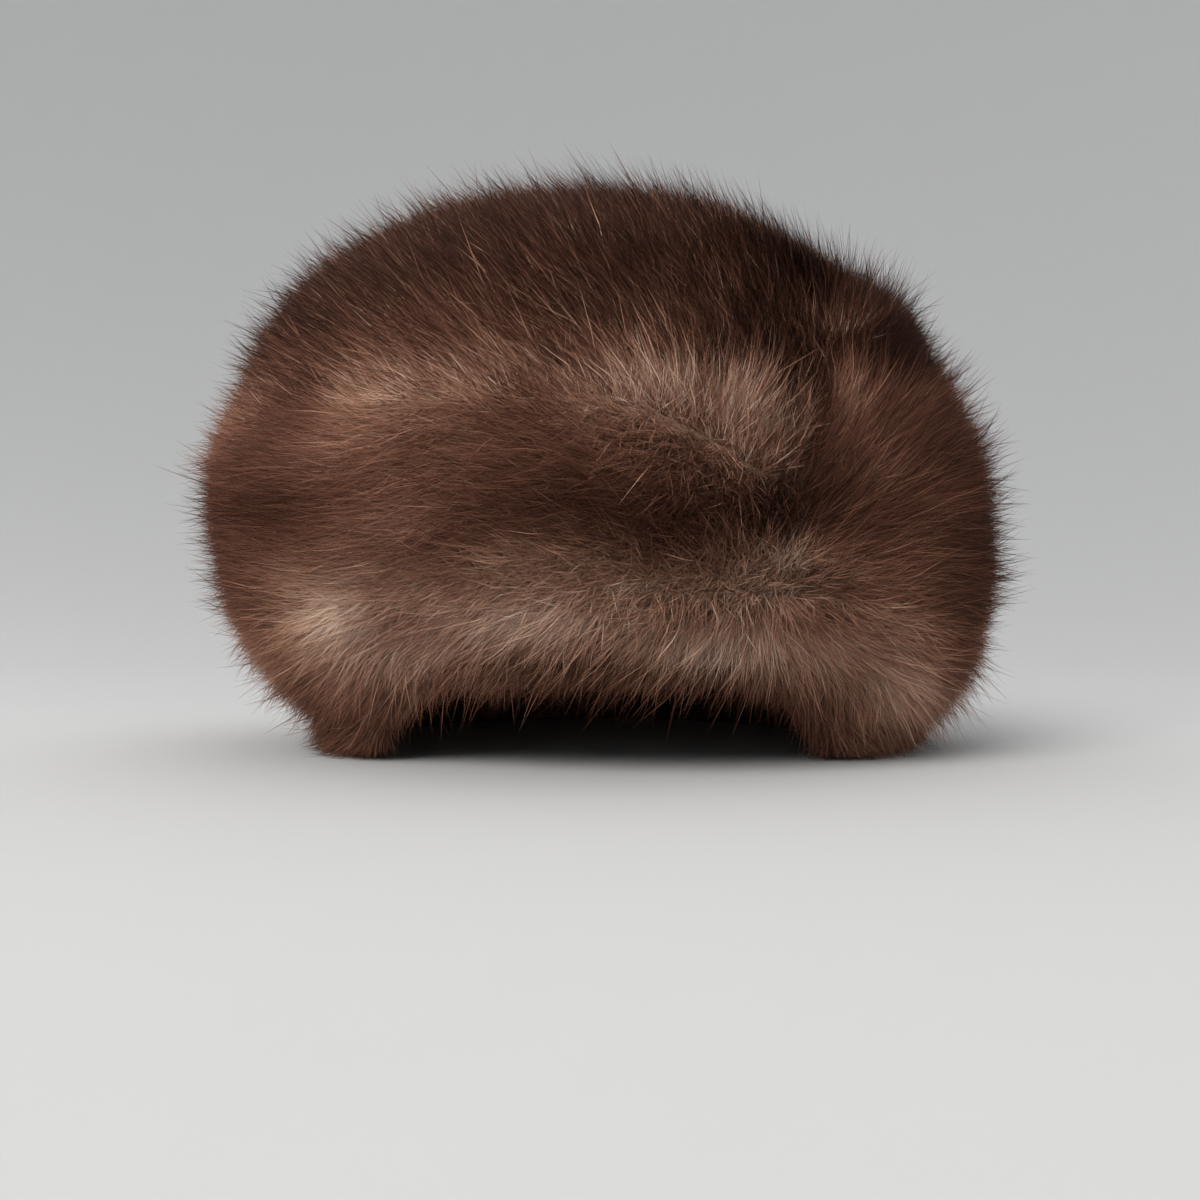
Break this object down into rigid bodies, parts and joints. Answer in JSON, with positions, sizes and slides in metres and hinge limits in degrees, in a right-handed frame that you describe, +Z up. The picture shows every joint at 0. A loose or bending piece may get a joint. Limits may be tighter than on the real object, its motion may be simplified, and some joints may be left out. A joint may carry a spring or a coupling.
{
  "type": "fur beret",
  "caption": "Tall puffed fur beret of sewn mink pelts with a soft turned-under rim and an open hollow for the head.",
  "frame": {"origin": "middle of the hat's bounding box, on the surface it rests on", "axes": "+Z up, the front of the hat faces -Y, +X is the right side as the picture shows it"},
  "size_m": [0.2642, 0.2696, 0.1805],
  "materials": {
    "crown_fur": "dark brown mink fur with soft glossy guard hairs",
    "side_fur": "brown mink fur, dark along the middle of each pelt and pale at its edges",
    "rim_fur": "pale brown mink fur turned under at the edge",
    "skin_side": "soft matt dressed leather, the inner side of the pelts"
  },
  "bodies": {
    "root": {"crown_pelt": "crown_fur", "side_pelt_left": "side_fur", "side_pelt_right": "side_fur", "rim_pelt": "rim_fur"}
  },
  "joints": []
}
